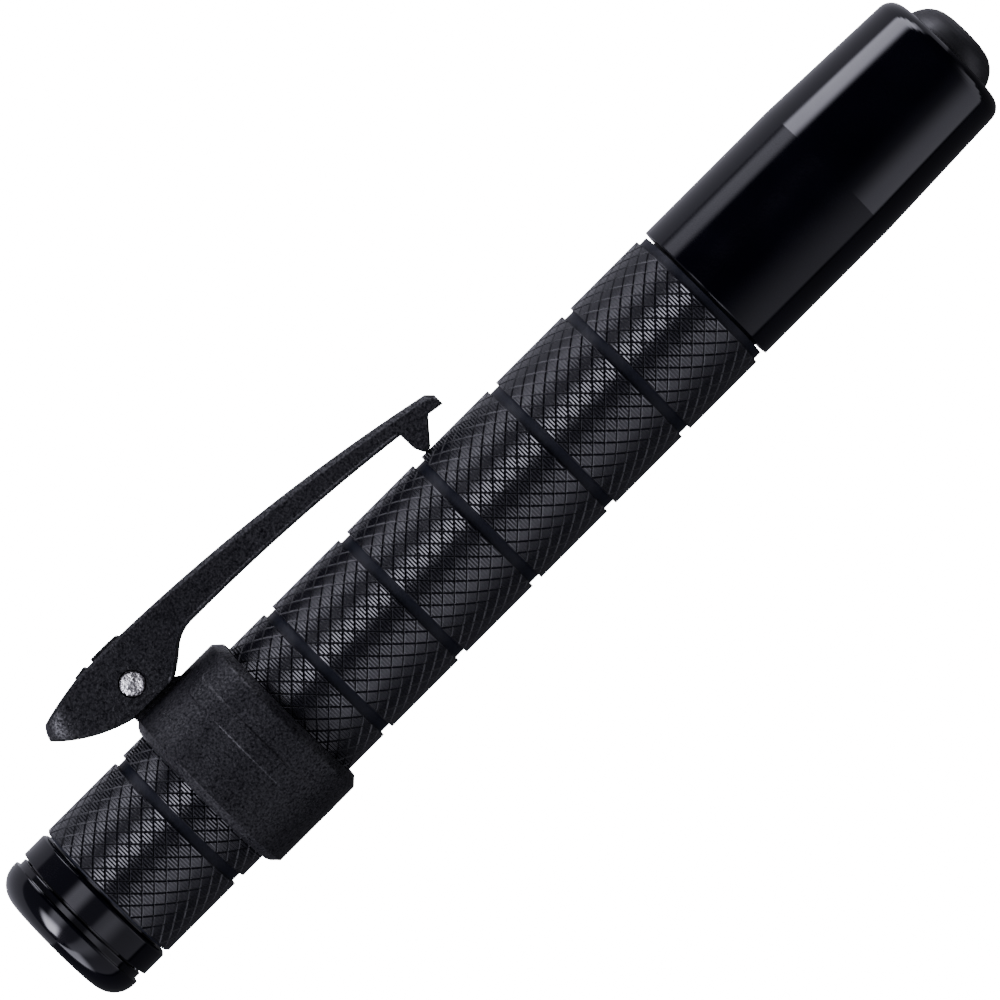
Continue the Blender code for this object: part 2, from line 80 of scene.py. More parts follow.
# Sizes, in millimetres. Barrel: bands of knurling parted by turned grooves, a neck and a bore
BODY_R = (barrel_high.y - barrel_low.y) / 2 / MM
GROOVE_R = 7.81
BAND_START, BAND_PITCH, BAND_WIDTH, BAND_COUNT = 7.43, 10.16, 9.02, 8
BARREL_START, BARREL_SHOULDER, BARREL_END = 7.23, 88.5, 100.0
BARREL_SOCKET_END = 13.9
NECK_R, SOCKET_R, BORE_R = 6.9, 7.2, 5.6
SEAL_GROOVE_HALF_WIDTH, SEAL_GROOVE_DEPTH = 0.6, 0.55
HEAD_SEAL_S, TAIL_SEAL_S = 10.0, 91.0
THREAD_TURNS, THREAD_START, THREAD_END, THREAD_R, THREAD_WIRE_R = 5.6, 92.6, 99.6, 6.84, 0.3

# Head: bezel, head ring, window, reflector and LED
BEZEL_END, BEZEL_SKIRT_END, BEZEL_CORNER_R, BEZEL_LIP, APERTURE_R = 3.09, 3.85, 2.7, 0.8, 4.7
HEAD_NOSE_START, HEAD_START, HEAD_CHAMFER_START, HEAD_END, HEAD_NECK_END = 2.85, 4.15, 6.65, 6.93, 13.5
HEAD_CHAMFER, HEAD_BORE_R = 0.3, 5.8
LENS_START, LENS_END, LENS_R = 1.9, 2.6, 6.6
REFLECTOR_START, REFLECTOR_END, REFLECTOR_WALL = 2.9, 9.0, 0.4
REFLECTOR_MOUTH_R, REFLECTOR_HOLE_R = 5.1, 1.7
LED_DOME_S, LED_DOME_R = 9.4, 1.2

# Tail cap and its springs
CAP_START, CAP_SOCKET_END, CAP_TAPER_START, CAP_LIP_START, CAP_END = 88.8, 100.3, 105.3, 120.1, 121.75
CAP_BORE_R, CAP_LIP_R, CAP_END_R, CAP_CORNER_R = 6.7, 5.45, 7.67, 1.65
BATTERY_SPRING_TURNS, BATTERY_SPRING_WIRE_R = 3.75, 0.35
BATTERY_SPRING_START, BATTERY_SPRING_END = 109.55, 105.35
BATTERY_SPRING_BASE_R, BATTERY_SPRING_TIP_R = 3.9, 2.7
SWITCH_SPRING_TURNS, SWITCH_SPRING_R, SWITCH_SPRING_WIRE_R = 2.5, 1.4, 0.11
SWITCH_SPRING_START, SWITCH_SPRING_END = 113.0, 114.85

# Rubber boot: its (s, r) skin from the crown to the flange and back inside
BOOT_OUTLINE = [
    (124.4, 0), (124.38, 1.2), (124.3, 2.2), (124.15, 2.95), (123.96, 3.45), (123.6, 4.0),
    (123.2, 4.4), (122.8, 4.68), (122.4, 4.9), (122.0, 5.05), (121.5, 5.15), (119.8, 5.15),
    (119.8, 6.4), (118.9, 6.4), (118.9, 4.2), (121.7, 4.1), (122.6, 3.5), (123.1, 2.2), (123.2, 0)]
BOOT_FILLET = 0.4


# ---------------------------------------------------------------- materials

def shader_of(name, colour, roughness, metallic=0.0, **sockets):
    """A Principled material, with its node tree, shader and object coordinates."""
    mat = bpy.data.materials.new(name)
    mat.use_nodes = True
    tree = mat.node_tree
    shader = tree.nodes["Principled BSDF"]
    shader.inputs["Base Color"].default_value = (*colour, 1.0)
    shader.inputs["Roughness"].default_value = roughness
    shader.inputs["Metallic"].default_value = metallic
    for socket, value in sockets.items():
        shader.inputs[socket.replace("_", " ")].default_value = value
    coords = tree.nodes.new("ShaderNodeTexCoord").outputs["Object"]
    return mat, tree, shader, coords


def noise(tree, coords, scale, detail=3.0, roughness=0.55, stretch=(1, 1, 1)):
    """A noise field with a feature size of about 1 / scale metres."""
    mapping = tree.nodes.new("ShaderNodeMapping")
    mapping.inputs["Scale"].default_value = [scale * k for k in stretch]
    tree.links.new(coords, mapping.inputs["Vector"])
    field = tree.nodes.new("ShaderNodeTexNoise")
    field.inputs["Scale"].default_value = 1.0
    field.inputs["Detail"].default_value = detail
    field.inputs["Roughness"].default_value = roughness
    tree.links.new(mapping.outputs["Vector"], field.inputs["Vector"])
    return field.outputs["Fac"]


def remap(tree, value, low, high, start=0.3, end=0.7):
    """The value's stretch from start to end, turned to run from low to high."""
    node = tree.nodes.new("ShaderNodeMapRange")
    node.inputs["From Min"].default_value = start
    node.inputs["From Max"].default_value = end
    node.inputs["To Min"].default_value = low
    node.inputs["To Max"].default_value = high
    tree.links.new(value, node.inputs["Value"])
    return node.outputs["Result"]


def tint(tree, value, low, high):
    """A colour that runs from low to high with the value."""
    ramp = tree.nodes.new("ShaderNodeValToRGB")
    ramp.color_ramp.elements[0].position = 0.3
    ramp.color_ramp.elements[0].color = (*low, 1.0)
    ramp.color_ramp.elements[1].position = 0.7
    ramp.color_ramp.elements[1].color = (*high, 1.0)
    tree.links.new(value, ramp.inputs["Fac"])
    return ramp.outputs["Color"]


def bump(tree, height, distance, strength=1.0, under=None):
    """A bump of the given height in metres, laid on another if one is given."""
    node = tree.nodes.new("ShaderNodeBump")
    node.inputs["Distance"].default_value = distance
    node.inputs["Strength"].default_value = strength
    tree.links.new(height, node.inputs["Height"])
    if under is not None:
        tree.links.new(under, node.inputs["Normal"])
    return node.outputs["Normal"]


def turning_lines(tree, coords, pitch):
    """Even ridges round the pen, as a lathe tool leaves them, with their pitch in metres."""
    wave = tree.nodes.new("ShaderNodeTexWave")
    wave.wave_type = "BANDS"
    wave.bands_direction = "X"
    wave.wave_profile = "SIN"
    wave.inputs["Scale"].default_value = math.pi / 10 / pitch
    tree.links.new(coords, wave.inputs["Vector"])
    return wave.outputs["Fac"]


def gloss_black():
    mat, tree, shader, coords = shader_of("gloss_black", (0.0007, 0.0007, 0.002), 0.1, IOR=1.5)
    smudge = noise(tree, coords, 160, 4.0)
    tree.links.new(remap(tree, smudge, 0.07, 0.12), shader.inputs["Roughness"])
    tree.links.new(tint(tree, smudge, (0.0004, 0.0004, 0.0016), (0.001, 0.001, 0.003)),
                   shader.inputs["Base Color"])
    grain = noise(tree, coords, 900, 2.0, stretch=(4, 0.4, 0.4))
    tree.links.new(bump(tree, grain, 0.000001, 0.25), shader.inputs["Normal"])
    return mat


def knurl_black():
    """The diamonds' tops, which keep the lines of the turning that came before the knurling."""
    mat, tree, shader, coords = shader_of("knurl_black", (0.006, 0.006, 0.008), 0.2, IOR=1.5)
    patch = noise(tree, coords, 420, 4.0)
    tree.links.new(remap(tree, patch, 0.12, 0.2), shader.inputs["Roughness"])
    tree.links.new(tint(tree, patch, (0.004, 0.004, 0.006), (0.009, 0.009, 0.011)),
                   shader.inputs["Base Color"])
    lines = bump(tree, turning_lines(tree, coords, 0.0003), 0.00007, 1.0)
    grain = bump(tree, noise(tree, coords, 9000, 2.0), 0.000006, 0.6, lines)
    tree.links.new(grain, shader.inputs["Normal"])
    return mat


def knurl_wall_black():
    mat, tree, shader, coords = shader_of("knurl_wall_black", (0.005, 0.005, 0.007), 0.42, IOR=1.5,
                                          Specular_IOR_Level=0.28)
    patch = noise(tree, coords, 900, 4.0)
    tree.links.new(remap(tree, patch, 0.36, 0.5), shader.inputs["Roughness"])
    tree.links.new(bump(tree, noise(tree, coords, 7000, 2.0), 0.00001, 0.6), shader.inputs["Normal"])
    return mat


def groove_black():
    mat, tree, shader, coords = shader_of("groove_black", (0.004, 0.005, 0.010), 0.4, IOR=1.5,
                                          Specular_IOR_Level=0.2)
    patch = noise(tree, coords, 700, 3.0)
    tree.links.new(remap(tree, patch, 0.34, 0.5), shader.inputs["Roughness"])
    tree.links.new(bump(tree, turning_lines(tree, coords, 0.00012), 0.000012, 0.8),
                   shader.inputs["Normal"])
    return mat


def moulded_plastic(name, colour, light, grain_size, roughness):
    """Spark-eroded plastic: an uneven grain whose specks shine more or less."""
    mat, tree, shader, coords = shader_of(name, colour, roughness, IOR=1.5)
    speckle = noise(tree, coords, 1 / grain_size, 3.0, 0.7)
    cloud = noise(tree, coords, 0.12 / grain_size, 3.0, 0.6)
    tree.links.new(tint(tree, speckle, colour, light), shader.inputs["Base Color"])
    tree.links.new(remap(tree, speckle, 0.03, 0.45, 0.36, 0.64), shader.inputs["Specular IOR Level"])
    tree.links.new(remap(tree, cloud, roughness - 0.05, roughness + 0.08), shader.inputs["Roughness"])
    coarse = bump(tree, noise(tree, coords, 0.8 / grain_size, 3.0, 0.7), grain_size * 0.25, 1.0)
    fine = bump(tree, noise(tree, coords, 3.1 / grain_size, 2.0), grain_size * 0.07, 0.8, coarse)
    tree.links.new(fine, shader.inputs["Normal"])
    return mat


def rubber():
    mat, tree, shader, coords = shader_of("rubber", (0.012, 0.012, 0.013), 0.42, IOR=1.5)
    patch = noise(tree, coords, 900, 4.0)
    tree.links.new(remap(tree, patch, 0.38, 0.52), shader.inputs["Roughness"])
    tree.links.new(bump(tree, noise(tree, coords, 5000, 3.0), 0.00001, 0.5), shader.inputs["Normal"])
    return mat


def rivet_steel():
    mat, tree, shader, coords = shader_of("rivet_steel", (0.85, 0.84, 0.83), 0.38, 1.0)
    dents = noise(tree, coords, 850, 3.0, 0.6)
    tree.links.new(tint(tree, dents, (0.6, 0.58, 0.57), (0.98, 0.97, 0.96)),
                   shader.inputs["Base Color"])
    tree.links.new(bump(tree, dents, 0.0009, 1.0), shader.inputs["Normal"])
    return mat


def plain_metal(name, colour, roughness, grain):
    """Drawn or turned metal with a fine streaked grain."""
    mat, tree, shader, coords = shader_of(name, colour, roughness, 1.0)
    streaks = noise(tree, coords, grain, 3.0, stretch=(0.3, 1, 1))
    tree.links.new(remap(tree, streaks, roughness * 0.8, roughness * 1.3), shader.inputs["Roughness"])
    tree.links.new(bump(tree, streaks, 0.000005, 0.4), shader.inputs["Normal"])
    return mat


def plain_moulding(name, low, high, roughness, grain):
    """A non-metal part with a faint mottle."""
    mat, tree, shader, coords = shader_of(name, low, roughness, IOR=1.5)
    mottle = noise(tree, coords, grain, 4.0)
    tree.links.new(tint(tree, mottle, low, high), shader.inputs["Base Color"])
    tree.links.new(bump(tree, mottle, 0.00001, 0.3), shader.inputs["Normal"])
    return mat


def lens_glass():
    mat, tree, shader, coords = shader_of("lens_glass", (0.93, 0.95, 1.0), 0.02, IOR=1.5,
                                          Transmission_Weight=1.0)
    dust = noise(tree, coords, 1500, 4.0)
    tree.links.new(remap(tree, dust, 0.01, 0.05), shader.inputs["Roughness"])
    return mat


GLOSS = gloss_black()
KNURL = knurl_black()
KNURL_WALL = knurl_wall_black()
GROOVE = groove_black()
PLASTIC = moulded_plastic("textured_plastic", (0.002, 0.002, 0.003), (0.019, 0.019, 0.021), 0.00024, 0.29)
PAD = moulded_plastic("pad_plastic", (0.002, 0.002, 0.003), (0.010, 0.010, 0.011), 0.0003, 0.36)
RUBBER = rubber()
RIVET = rivet_steel()
STEEL = plain_metal("spring_steel", (0.62, 0.62, 0.64), 0.28, 2500)
BRASS = plain_metal("turned_brass", (0.72, 0.52, 0.22), 0.3, 1800)
MIRROR = plain_metal("reflector_metal", (0.88, 0.89, 0.91), 0.06, 600)
CELL = plain_metal("cell_wrap", (0.2, 0.22, 0.26), 0.35, 500)
CERAMIC = plain_moulding("led_ceramic", (0.8, 0.79, 0.7), (0.9, 0.88, 0.8), 0.35, 1500)
BOARD = plain_moulding("board_mask", (0.012, 0.09, 0.04), (0.02, 0.13, 0.06), 0.35, 1200)
SWITCH = plain_moulding("switch_plastic", (0.42, 0.42, 0.4), (0.55, 0.55, 0.52), 0.5, 900)
GLASS = lens_glass()


# ---------------------------------------------------------------- mesh helpers

def finish_mesh(mesh, corner_angle=32):
    """The mesh shaded smooth but for its corners, with flats that stay flat next to small rounds."""
    mesh.validate()
    mesh.shade_smooth()
    mesh.set_sharp_from_angle(angle=math.radians(corner_angle))
    obj = bpy.data.objects.new("shading", mesh)
    bpy.context.scene.collection.objects.link(obj)
    modifier = obj.modifiers.new("normals", "WEIGHTED_NORMAL")
    modifier.keep_sharp = True
    modifier.weight = 100
    graph = bpy.context.evaluated_depsgraph_get()
    shaded = bpy.data.meshes.new_from_object(obj.evaluated_get(graph))
    bpy.data.objects.remove(obj)
    return shaded


def piece(name, mesh, mats, body, stands_for=()):
    """Put a mesh in the scene as a visible piece of the object."""
    obj = bpy.data.objects.new(name, mesh)
    bpy.context.scene.collection.objects.link(obj)
    for mat in mats:
        mesh.materials.append(mat)
    if body is not None:
        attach(obj, body)
    if stands_for:
        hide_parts(*stands_for)
    return obj


def arc(centre_s, centre_r, radius, start, end, count):
    """Points on a circle in the (s, r) plane, with angles in degrees from the +s direction."""
    angles = [math.radians(start + (end - start) * i / count) for i in range(count + 1)]
    return [(centre_s + radius * math.cos(a), centre_r + radius * math.sin(a)) for a in angles]


def filleted(corners, radius=0.08, count=3, closed=True):
    """Round the corners of a profile. A corner may carry its own radius as a third value."""
    points = []
    last = len(corners) - 1
    for i, corner in enumerate(corners):
        here = Vector(corner[:2])
        if not closed and i in (0, last):
            points.append(tuple(here))
            continue
        before = Vector(corners[i - 1][:2]) - here
        after = Vector(corners[(i + 1) % len(corners)][:2]) - here
        angle = before.angle(after, math.pi)
        own = corner[2] if len(corner) > 2 else radius
        back = own / math.tan(angle / 2) if 0.01 < angle < 3.0 else 0.0
        back = min(back, before.length * 0.45, after.length * 0.45)
        if back < 0.001:
            points.append(tuple(here))
            continue
        start, end = here + before.normalized() * back, here + after.normalized() * back
        for k in range(count + 1):
            t = k / count
            point = start * (1 - t) ** 2 + here * 2 * t * (1 - t) + end * t * t
            points.append(tuple(point))
    return points


LONG_STRETCH, SUPPORT_GAP = 0.5, 0.04     # millimetres


def supported(profile, closed=True):
    """The profile with a point close to each end of its long stretches, so that they shade straight."""
    points = []
    for here, there in zip(profile, list(profile[1:]) + [profile[0]] if closed else profile[1:]):
        points.append(here)
        length = math.hypot(there[0] - here[0], there[1] - here[1])
        if length > LONG_STRETCH:
            for share in (SUPPORT_GAP / length, 1 - SUPPORT_GAP / length):
                points.append((here[0] + (there[0] - here[0]) * share,
                               here[1] + (there[1] - here[1]) * share))
    return points if closed else points + [profile[-1]]


def solid_from(name, shape):
    """The bmesh made into a mesh, its faces turned outwards."""
    bmesh.ops.recalc_face_normals(shape, faces=shape.faces)
    mesh = bpy.data.meshes.new(name)
    shape.to_mesh(mesh)
    shape.free()
    return mesh


def bridge(shape, rings):
    """Faces from each ring of vertices to the next. A ring may be one vertex over and over."""
    for low, high in zip(rings, rings[1:]):
        for k in range(len(low)):
            n = (k + 1) % len(low)
            corners = [low[k], low[n], high[n], high[k]]
            shape.faces.new([v for i, v in enumerate(corners) if v not in corners[:i]])


def turned_mesh(name, profile, segments=160, closed=True):
    """Turn an (s, r) profile round the pen's axis. An open profile starts and ends on the axis."""
    rings = []
    shape = bmesh.new()
    for s, r in supported(profile, closed):
        if r < 1e-6:
            rings.append([shape.verts.new(at(s))] * segments)
            continue
        rings.append([shape.verts.new(at(s, r * math.cos(2 * math.pi * k / segments),
                                         r * math.sin(2 * math.pi * k / segments)))
                      for k in range(segments)])
    bridge(shape, rings + rings[:1] if closed else rings)
    return finish_mesh(solid_from(name, shape))


# ---------------------------------------------------------------- barrel

KNURL_AXIAL = 1.64          # diamond length along the pen
KNURL_ROUND = 30            # diamonds round the pen
KNURL_DEPTH = 0.115
KNURL_LAND = 0.81           # share of a diamond that stays flat
SLEEVE_SINK = 0.15          # how far a band's inside lies under the groove floors


def knurled_band(start, end):
    """One closed sleeve of diamonds: made flat, cut to length, wrapped round and given an inside."""
    tall = 2 * math.pi * BODY_R / KNURL_ROUND
    half_s, half_t = KNURL_AXIAL / 2, tall / 2
    shape = bmesh.new()
    columns = int((end - start) / half_s) + 3
    for i in range(-1, columns):
        for j in range(KNURL_ROUND):
            centre_s = start + i * half_s
            centre_t = j * tall + (half_t if i % 2 else 0.0)
            add_diamond(shape, centre_s, centre_t, half_s, half_t)
    bmesh.ops.remove_doubles(shape, verts=shape.verts, dist=0.001)
    for place, side in ((start, -1), (end, 1)):
        geometry = list(shape.verts) + list(shape.edges) + list(shape.faces)
        bmesh.ops.bisect_plane(shape, geom=geometry, dist=0.0005, plane_co=(place, 0, 0),
                               plane_no=(side, 0, 0), clear_outer=True)
    for vert in shape.verts:
        s, t, height = vert.co
        radius, angle = BODY_R + height, t / BODY_R
        vert.co = (s, radius * math.cos(angle), radius * math.sin(angle))
    bmesh.ops.remove_doubles(shape, verts=shape.verts, dist=0.002)
    close_sleeve(shape, start, end, GROOVE_R - SLEEVE_SINK)
    return shape


def add_diamond(shape, centre_s, centre_t, half_s, half_t):
    """A flat-topped diamond with walls down to the valleys round it."""
    spots = [(1, 0), (0.5, 0.5), (0, 1), (-0.5, 0.5), (-1, 0), (-0.5, -0.5), (0, -1), (0.5, -0.5)]
    foot = [shape.verts.new((centre_s + a * half_s, centre_t + b * half_t, -KNURL_DEPTH))
            for a, b in spots]
    top = [shape.verts.new((centre_s + a * half_s * KNURL_LAND, centre_t + b * half_t * KNURL_LAND, 0))
           for a, b in spots]
    for k in range(8):
        n = (k + 1) % 8
        shape.faces.new([foot[k], foot[n], top[n], top[k]]).material_index = 1
    shape.faces.new([top[0], top[1], top[3], top[4]])
    shape.faces.new([top[0], top[4], top[5], top[7]])
    shape.faces.new([top[1], top[2], top[3]])
    shape.faces.new([top[5], top[6], top[7]])


def close_sleeve(shape, start, end, inner_r):
    """Give an open sleeve flat ends and an inside wall."""
    rims = []
    for place in (start, end):
        rim = [e for e in shape.edges if e.is_boundary
               and all(abs(v.co.x - place) < 0.01 for v in e.verts)]
        made = bmesh.ops.extrude_edge_only(shape, edges=rim)["geom"]
        for vert in (g for g in made if isinstance(g, bmesh.types.BMVert)):
            length = math.hypot(vert.co.y, vert.co.z)
            vert.co = (place, vert.co.y * inner_r / length, vert.co.z * inner_r / length)
        rims += [g for g in made if isinstance(g, bmesh.types.BMEdge) and g.is_boundary]
    bmesh.ops.bridge_loops(shape, edges=rims)


def seal_groove(centre):
    """Corners of the groove that an O-ring sits in, in a neck."""
    low, high = centre - SEAL_GROOVE_HALF_WIDTH, centre + SEAL_GROOVE_HALF_WIDTH
    floor_r = NECK_R - SEAL_GROOVE_DEPTH
    return [(low, NECK_R), (low, floor_r), (high, floor_r), (high, NECK_R)]


def barrel():
    """The knurled bands, and the tube that carries them with the grooves' floors."""
    shape = bmesh.new()
    for band in range(BAND_COUNT):
        start = BAND_START + band * BAND_PITCH
        sleeve = knurled_band(start, start + BAND_WIDTH)
        part = bpy.data.meshes.new("band")
        sleeve.to_mesh(part)
        sleeve.free()
        shape.from_mesh(part)
        bpy.data.meshes.remove(part)
    bmesh.ops.recalc_face_normals(shape, faces=shape.faces)
    bmesh.ops.transform(shape, matrix=Matrix.Translation(at(0)) @ Matrix.Scale(MM, 4), verts=shape.verts)
    mesh = bpy.data.meshes.new("knurled_barrel")
    shape.to_mesh(mesh)
    shape.free()
    piece("knurled_bands", finish_mesh(mesh, 25), [KNURL, KNURL_WALL], "body")

    rim_s = BAND_START + 0.02
    core = filleted([(BARREL_START, BODY_R - 0.2), (rim_s, BODY_R - 0.04),
                     (rim_s, GROOVE_R), (BARREL_SHOULDER, GROOVE_R, 0.05), (BARREL_SHOULDER, NECK_R)]
                    + seal_groove(TAIL_SEAL_S)
                    + [(BARREL_END, NECK_R, 0.3), (BARREL_END, BORE_R), (BARREL_SOCKET_END, BORE_R),
                       (BARREL_SOCKET_END, SOCKET_R), (BARREL_START, SOCKET_R)])
    piece("barrel_tube", turned_mesh("barrel_tube", core), [GROOVE], "body", ["barrel"])


def gloss_parts():
    """The bezel, the head ring and the tail cap's sleeve."""
    corner = arc(BEZEL_CORNER_R, BODY_R - BEZEL_CORNER_R, BEZEL_CORNER_R, 180, 90, 14)
    bezel = ([(0, APERTURE_R)] + corner
             + [(BEZEL_END, BODY_R), (BEZEL_END, GROOVE_R), (BEZEL_SKIRT_END, GROOVE_R),
                (BEZEL_SKIRT_END, SOCKET_R), (BEZEL_LIP, SOCKET_R), (BEZEL_LIP, APERTURE_R)])
    piece("bezel", turned_mesh("bezel", filleted(bezel)), [GLOSS], "body", ["bezel_ring"])

    ring = ([(HEAD_NOSE_START, NECK_R), (HEAD_START, NECK_R), (HEAD_START, BODY_R),
             (HEAD_CHAMFER_START, BODY_R), (HEAD_END, BODY_R - HEAD_CHAMFER), (HEAD_END, NECK_R)]
            + seal_groove(HEAD_SEAL_S)
            + [(HEAD_NECK_END, NECK_R), (HEAD_NECK_END, HEAD_BORE_R), (HEAD_NOSE_START, HEAD_BORE_R)])
    piece("head_collar", turned_mesh("head_collar", filleted(ring)), [GLOSS], "body",
          ["head_ring"])

    corner = arc(CAP_END - CAP_CORNER_R, CAP_END_R - CAP_CORNER_R, CAP_CORNER_R, 88, 2, 10)
    cap = ([(CAP_START, BODY_R), (CAP_TAPER_START, BODY_R)] + corner
           + [(CAP_END, CAP_LIP_R), (CAP_LIP_START, CAP_LIP_R), (CAP_LIP_START, CAP_BORE_R),
              (CAP_SOCKET_END, CAP_BORE_R), (CAP_SOCKET_END, SOCKET_R), (CAP_START, SOCKET_R)])
    piece("tail_sleeve", turned_mesh("tail_sleeve", filleted(cap), 192), [GLOSS], "tail_cap",
          ["tail_cap"])


def light_parts():
    """What shows through the front: the window, the parabolic bowl and the LED's dome."""
    lens = [(LENS_START, 0), (LENS_START, LENS_R), (LENS_END, LENS_R), (LENS_END, 0)]
    piece("window", turned_mesh("window", filleted(lens, 0.1, 3, False), 96, False), [GLASS], "body",
          ["lens"])

    slope = (REFLECTOR_MOUTH_R ** 2 - REFLECTOR_HOLE_R ** 2) / (REFLECTOR_END - REFLECTOR_START)
    vertex = REFLECTOR_END + REFLECTOR_HOLE_R ** 2 / slope
    inside = [(s, math.sqrt(slope * (vertex - s)))
              for s in np.linspace(REFLECTOR_START, REFLECTOR_END, 24)]
    outside = [(s, r + REFLECTOR_WALL) for s, r in reversed(inside)]
    piece("reflector_bowl", turned_mesh("reflector_bowl", inside + outside, 96), [MIRROR], "body",
          ["reflector"])

    dome = arc(LED_DOME_S, 0, LED_DOME_R, 180, 90, 10) + [(LED_DOME_S, 0.0)]
    piece("led_dome", turned_mesh("led_dome", dome, 48, False), [CERAMIC], "body")


def button():
    """The rubber boot, from its flange in the tail cap to its crown on the plunger."""
    skin = filleted(BOOT_OUTLINE, BOOT_FILLET, 3, False)
    boot = piece("rubber_boot", turned_mesh("rubber_boot", skin, 96, False),
                 [RUBBER], None, ["button_boot"])
    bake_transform(boot)


# ---------------------------------------------------------------- clip

PIVOT_S, PIVOT_R = 23.2, 12.4
PIN_BORE_R, PIN_SHANK_R, PIN_HEAD_R, PIN_SINK_R = 0.85, 0.8, 1.28, 1.38
PIN_SINK_FLOOR = 2.72       # depth of the sink that a pin head sits in, from the lever's middle
PIN_HEAD = [(0.0, 3.52), (0.5, 3.515), (0.9, 3.49), (1.12, 3.43), (1.24, 3.32), (PIN_HEAD_R, 3.15),
            (PIN_HEAD_R, 2.76)]     # (radius, z) from its crown to its underside
COLLAR_R, COLLAR_BORE_R, RIB_R = 9.79, 8.5, 8.1
EAR_INSIDE, EAR_OUTSIDE = 1.4, 2.1


def smooth(value, low, high):
    """A soft step from 0 at low to 1 at high."""
    t = min(1.0, max(0.0, (value - low) / (high - low)))
    return t * t * (3 - 2 * t)


def loose(name, mesh):
    """An object that holds the mesh and is no piece of the pen."""
    obj = bpy.data.objects.new(name, mesh)
    bpy.context.scene.collection.objects.link(obj)
    return obj


def combined(name, base, parts):
    """The base mesh with each (operation, mesh) applied in turn."""
    obj = loose(name + "_base", base)
    helpers = []
    for i, (operation, mesh) in enumerate(parts):
        helper = loose(f"{name}_helper_{i}", mesh)
        modifier = obj.modifiers.new(f"step_{i}", "BOOLEAN")
        modifier.operation = operation
        modifier.solver = "EXACT"
        modifier.object = helper
        helpers.append(helper)
    graph = bpy.context.evaluated_depsgraph_get()
    mesh = bpy.data.meshes.new_from_object(obj.evaluated_get(graph))
    mesh.name = name
    for thing in [obj] + helpers:
        bpy.data.objects.remove(thing)
    return mesh


def prism(outline, low_z, high_z):
    """A closed plate: an (s, r) outline taken from low_z to high_z."""
    shape = bmesh.new()
    low = [shape.verts.new(at(s, r, low_z)) for s, r in outline]
    high = [shape.verts.new(at(s, r, high_z)) for s, r in outline]
    shape.faces.new(low)
    shape.faces.new(high)
    for k in range(len(outline)):
        n = (k + 1) % len(outline)
        shape.faces.new([low[k], low[n], high[n], high[k]])
    return solid_from("prism", shape)


def circle(s, r, radius, count=48):
    return [(s + radius * math.cos(2 * math.pi * k / count),
             r + radius * math.sin(2 * math.pi * k / count)) for k in range(count)]


RAISED_NEAR, RAISED_FAR, RAISED_EDGE, RAISED_HEIGHT = 26.4, 28.4, 0.07, 0.065


def raised_height(s, psi):
    """How high the raised band round the collar stands, at psi degrees from the clip.

    Its far side flares towards the tail where the band starts, and its near side is straight.
    """
    far_side = RAISED_FAR + 1.2 * (1 - smooth(psi, 31, 37)) ** 2
    along = smooth(psi, 30, 33.5) * (1 - 0.75 * smooth(psi, 95, 150))
    near = smooth(s, RAISED_NEAR, RAISED_NEAR + 0.13)
    far = 1 - smooth(s, far_side - RAISED_EDGE, far_side + RAISED_EDGE)
    return RAISED_HEIGHT * near * far * along


def collar():
    """The clip's ring with the raised band round it, a rib in its bore and two ears for the pin."""
    crown_r = COLLAR_R - RAISED_HEIGHT
    profile = filleted([(20.3, 8.66, 0.05), (20.5, 9.05, 0.2), (20.92, 9.45, 0.2),
                        (21.15, crown_r, 0.12), (31.15, crown_r, 0.4), (32.0, 8.95, 0.12),
                        (32.0, COLLAR_BORE_R), (27.5, COLLAR_BORE_R), (27.4, RIB_R), (27.0, RIB_R),
                        (26.9, COLLAR_BORE_R), (20.3, COLLAR_BORE_R)], 0.05, 5)
    top = next(i for i, (s, r) in enumerate(profile) if s > 25 and r > 9)
    # Rows are close together where the raised band's sides can be
    rows = [(22.2, 26.2, 5), (26.35, 26.75, 13), (27.0, 28.0, 5), (28.1, 29.8, 44)]
    crown = [(s, crown_r) for row in rows for s in np.linspace(*row)]
    count = 288
    shape = bmesh.new()
    rings = []
    for s, r in profile[:top] + crown + profile[top:]:
        ring = []
        for k in range(count):
            angle = 2 * math.pi * k / count
            psi = math.degrees(min(angle, 2 * math.pi - angle))
            high = r + (raised_height(s, psi) if r > crown_r - 0.001 else 0.0)
            ring.append(shape.verts.new(at(s, high * math.cos(angle), high * math.sin(angle))))
        rings.append(ring)
    bridge(shape, rings + rings[:1])
    base = solid_from("collar", shape)

    ear = filleted([(20.95, 8.9, 0), (20.95, 10.2, 0.3), (21.2, 12.9, 1.6), (22.2, 14.43, 1.2),
                    (24.3, 14.43, 1.2), (25.2, 12.9, 1.6), (26.1, 10.3, 0.5), (27.1, 9.6, 0.4),
                    (27.3, 8.9, 0)], 0.2, 6)
    ears = [("UNION", prism(ear, low, high))
            for low, high in ((EAR_INSIDE, EAR_OUTSIDE), (-EAR_OUTSIDE, -EAR_INSIDE))]
    mesh = combined("clip_ring", base, ears)
    piece("clip_ring", finish_mesh(mesh, 30), [PLASTIC], "collar", ["clip_collar"])


# Lever, seen from the side: (s, r, bulge) corners over the top towards the tail and back under the
# arm. Each stretch to the next corner is an arc that stands out by its bulge.
LEVER_OUTLINE = [
    (13.61, 14.05, 0.12), (14.40, 15.54, 0.08), (19.61, 16.54, 0), (25.37, 16.58, 0.88),
    (62.68, 12.20, 0), (63.50, 11.38, 0.08), (63.36, 10.38, 0), (61.62, 10.66, 0),
    (59.52, 8.23, 0), (58.82, 8.21, 0), (58.33, 9.26, 0), (58.29, 11.10, -0.42),
    (31.74, 12.74, -0.35), (28.56, 11.66, 0.10), (26.02, 9.89, 0), (20.78, 9.93, 0.55)]
TOP_CORNERS = 6             # how many of them lie over the top
